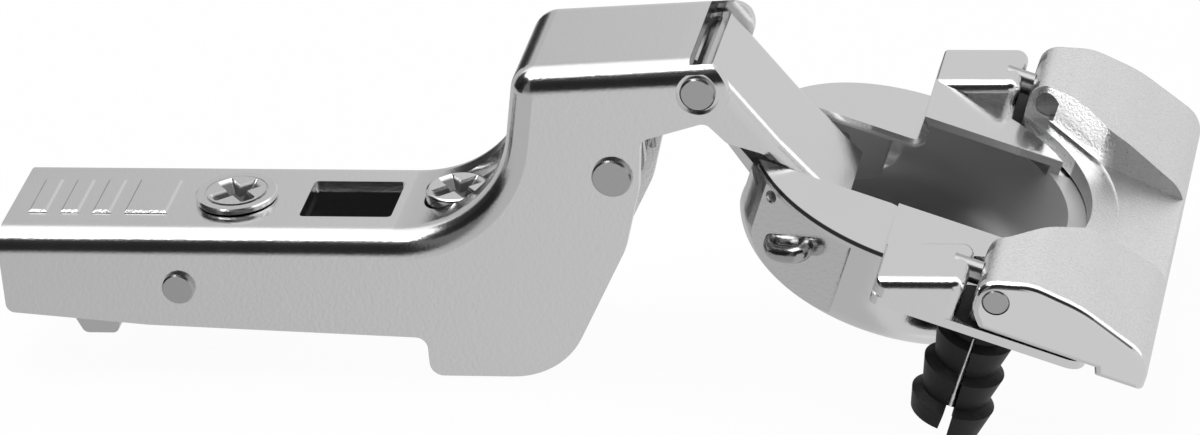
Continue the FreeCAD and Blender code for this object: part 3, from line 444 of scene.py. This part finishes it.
def staple_wire():
    """Round wire along the staple's path: circles square to the path, closed at both ends."""
    path, sides = staple_path(STAPLE_RINGS), STAPLE_SIDES
    ahead = np.gradient(path, axis=0)
    ahead /= np.linalg.norm(ahead, axis=1)[:, None]
    flat = np.cross(path[-1] - path[0], path[1] - path[0])
    flat /= np.linalg.norm(flat)
    across = np.cross(ahead, flat)
    turn = np.linspace(0, 2 * math.pi, sides, endpoint=False)
    radius = np.full(len(path), STAPLE_R / 1000)
    radius[[0, -1]] *= STAPLE_END_SHARE
    rings = path[:, None] + radius[:, None, None] * (
        np.cos(turn)[None, :, None] * flat + np.sin(turn)[None, :, None] * across[:, None])
    points = np.concatenate([rings.reshape(-1, 3), path[[0, -1]]])
    row, column = np.meshgrid(np.arange(len(path) - 1), np.arange(sides), indexing="ij")
    following = (column + 1) % sides
    walls = np.stack([row * sides + column, row * sides + following,
                      (row + 1) * sides + following, (row + 1) * sides + column], axis=-1).reshape(-1, 4)
    start, end = len(points) - 2, len(points) - 1
    last, ring = (len(path) - 1) * sides, np.arange(sides)
    caps = [(start, (i + 1) % sides, i) for i in ring]
    caps += [(end, last + i, last + (i + 1) % sides) for i in ring]
    mesh = bpy.data.meshes.new("staple_wire")
    mesh.from_pydata(points.tolist(), [], walls.tolist() + [tuple(map(int, cap)) for cap in caps])
    mesh.update()
    work = bmesh.new()
    work.from_mesh(mesh)
    bmesh.ops.recalc_face_normals(work, faces=work.faces)
    work.to_mesh(mesh)
    work.free()
    mesh.polygons.foreach_set("use_smooth", [True] * len(mesh.polygons))
    wire = bpy.data.objects.new("staple_wire", mesh)
    bpy.context.scene.collection.objects.link(wire)
    mesh.materials.append(bright_plate("staple_steel", 0.5, 0.2))
    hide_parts("cup_staple")
    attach(wire, "cup_body")


# Studio


def studio_tone(s, x, y, z):
    """Brightness of the studio in one direction.

    Its bands run round the x axis: with angle 0 at the far horizon, 90 straight up and 180 at the
    near horizon, a bright ceiling lies between the pale far wall and the pale front, and a grey
    patch at the zenith. Black flags draw the dark lines along the bends: one over the near side
    left of the middle, one high over the near side, one at the left end and one in the far left
    corner. The light grows a little from left to right.
    """
    angle = z.op("ARCTAN2", y) * (180 / math.pi)
    angle = angle + angle.op("LESS_THAN", -90) * 360
    ceiling = s.above(angle, CEILING_START) * s.below(angle, CEILING_END)
    front = s.above(angle, FRONT_START)
    over = s.above(angle, CEILING_END) * s.below(angle, FRONT_START)
    near_left = over * s.step(x, *NEAR_LEFT_START, *NEAR_LEFT_LIGHT) * s.below(x, NEAR_SPLIT)
    near_high = over * s.above(x, NEAR_SPLIT) * s.below(x, NEAR_HIGH_END) * s.above(z, NEAR_HIGH_LOW)
    left_end = (s.below(x, LEFT_END_START) * s.below((y + LEFT_END_MIDDLE).size(), LEFT_END_SIDE)
                * s.above(z, LEFT_END_LOW) * s.below(z, LEFT_END_HIGH))
    far_left = (s.above(x, FAR_LEFT_START) * s.below(x, FAR_LEFT_END) * s.above(y, FAR_LEFT_SIDE)
                * s.above(z, FAR_LEFT_LOW) * s.below(z, FAR_LEFT_HIGH))
    zenith = s.below((x * x + y * y) ** 0.5, ZENITH_EDGE)
    tone = FAR_TONE + ceiling * (CEILING_TONE - FAR_TONE) + front * (FRONT_TONE - FAR_TONE)
    tone = tone * s.step(x, *SIDE_EDGE, *SIDE_LIGHT)
    dark = (near_left + near_high + left_end + far_left).clamped()
    return tone * (1 - dark * FLAG_DARK) * (1 - zenith) + zenith * ZENITH_TONE


def studio_world():
    """White to the camera, and the studio's bands of light to everything else."""
    world = bpy.data.worlds.new("studio")
    bpy.context.scene.world = world
    s = Shader(world)
    axes = s.node("ShaderNodeSeparateXYZ", None, {"Vector": s.node("ShaderNodeTexCoord")["Generated"]})
    tone = studio_tone(s, *(s.value(axes[i]) for i in range(3)))
    light = s.node("ShaderNodeBackground", None, {"Color": tone, "Strength": 1.0})["Background"]
    white = s.node("ShaderNodeBackground", None, {"Color": grey(1), "Strength": 1.0})["Background"]
    seen = s.straight_rays(s.node("ShaderNodeLightPath"))
    mixed = s.node("ShaderNodeMixShader", None, {0: seen, 1: light, 2: white})["Shader"]
    s.node("ShaderNodeOutputWorld", None, {"Surface": mixed})


def studio_floor():
    """Pale floor under the lowest point: white to the camera, with the part's faint shadow.

    Mirrored rays pass through it, so the metal shows the studio below the horizon too.
    """
    low = cad_bounds[0][2] - FLOOR_GAP
    corners = [(x * FLOOR_REACH, y * FLOOR_REACH, low) for x, y in ((-1, -1), (1, -1), (1, 1), (-1, 1))]
    mesh = bpy.data.meshes.new("floor")
    mesh.from_pydata(corners, [], [(0, 1, 2, 3)])
    floor = bpy.data.objects.new("floor", mesh)
    bpy.context.scene.collection.objects.link(floor)
    material, s = new_material("floor")
    path = s.node("ShaderNodeLightPath")
    matt = s.node("ShaderNodeBsdfDiffuse", None, {"Color": grey(FLOOR_TONE)})["BSDF"]
    white = s.node("ShaderNodeEmission", None, {"Color": grey(1), "Strength": 1.0})["Emission"]
    pale = s.node("ShaderNodeMixShader", None, {
        0: s.straight_rays(path) * FLOOR_WHITE, 1: matt, 2: white})["Shader"]
    clear = s.node("ShaderNodeBsdfTransparent", None, {"Color": grey(1)})["BSDF"]
    mixed = s.node("ShaderNodeMixShader", None, {0: path["Is Glossy Ray"], 1: pale, 2: clear})["Shader"]
    s.node("ShaderNodeOutputMaterial", None, {"Surface": mixed})
    mesh.materials.append(material)


def studio_lamp():
    """Soft square lamp over the part's left, which looks at its middle."""
    data = bpy.data.lights.new("top_lamp", "AREA")
    data.size = LAMP_SIZE
    data.energy = LAMP_POWER
    lamp = bpy.data.objects.new("top_lamp", data)
    lamp.location = LAMP_PLACE
    lamp.rotation_euler = (Vector(LAMP_AIM) - Vector(LAMP_PLACE)).to_track_quat("-Z", "Y").to_euler()
    bpy.context.scene.collection.objects.link(lamp)


def dress():
    """Finish of every CAD node."""
    plate = bright_plate("plated_sheet", 0.82, 0.17)
    # The cup's plating gets painted shade inside its mouth and a painted dark reflected line along its
    # flange's rim
    cup_plate_painted_shade = bright_plate("plated_sheet_cup_painted_shade", 0.82, 0.17, ((Shader.cup_painted_shade, 0.52, 0.5),
                                                          # The flange's rim is painted almost black as a
                                                          # dark reflection
                                                          (Shader.flange_rim_painted_reflection, 0.05, 0.0)))
    # The rail's inside under the window is painted nearly black as shade
    carrier = bright_plate("carrier_steel", 0.62, 0.3, ((Shader.rail_inside_shade, 0.03, 0.9),))
    pins = bright_plate("pin_steel", 0.5, 0.24)
    # The screws' cross recesses are painted dark as shade
    screws = bright_plate("screw_steel", 0.8, 0.16, ((Shader.screw_recess_shade, 0.14, 0.4),))
    links = bright_plate("link_steel", 0.66, 0.26)
    wire = bright_plate("spring_steel", 0.45, 0.3)
    casting = satin_metal("satin_casting", 0.92, 0.3, 0.25)
    plastic = black_plastic()
    by_slot = {"plated_sheet": plate, "carrier_steel": carrier, "pin_steel": pins, "screw_steel": screws,
               "link_steel": links, "spring_steel": wire, "satin_casting": casting, "black_plastic": plastic}
    for part in frame["record"]["subparts"]:
        node = frame["nodes"][part["node"]]
        node.data.materials.clear()
        node.data.materials.append(cup_plate_painted_shade if part["node"] == "cup" else by_slot[part["material_slot"]])


def main():
    aim_camera()
    bpy.context.scene.view_settings.view_transform = "Standard"
    studio_world()
    studio_floor()
    studio_lamp()
    dress()
    staple_wire()


main()
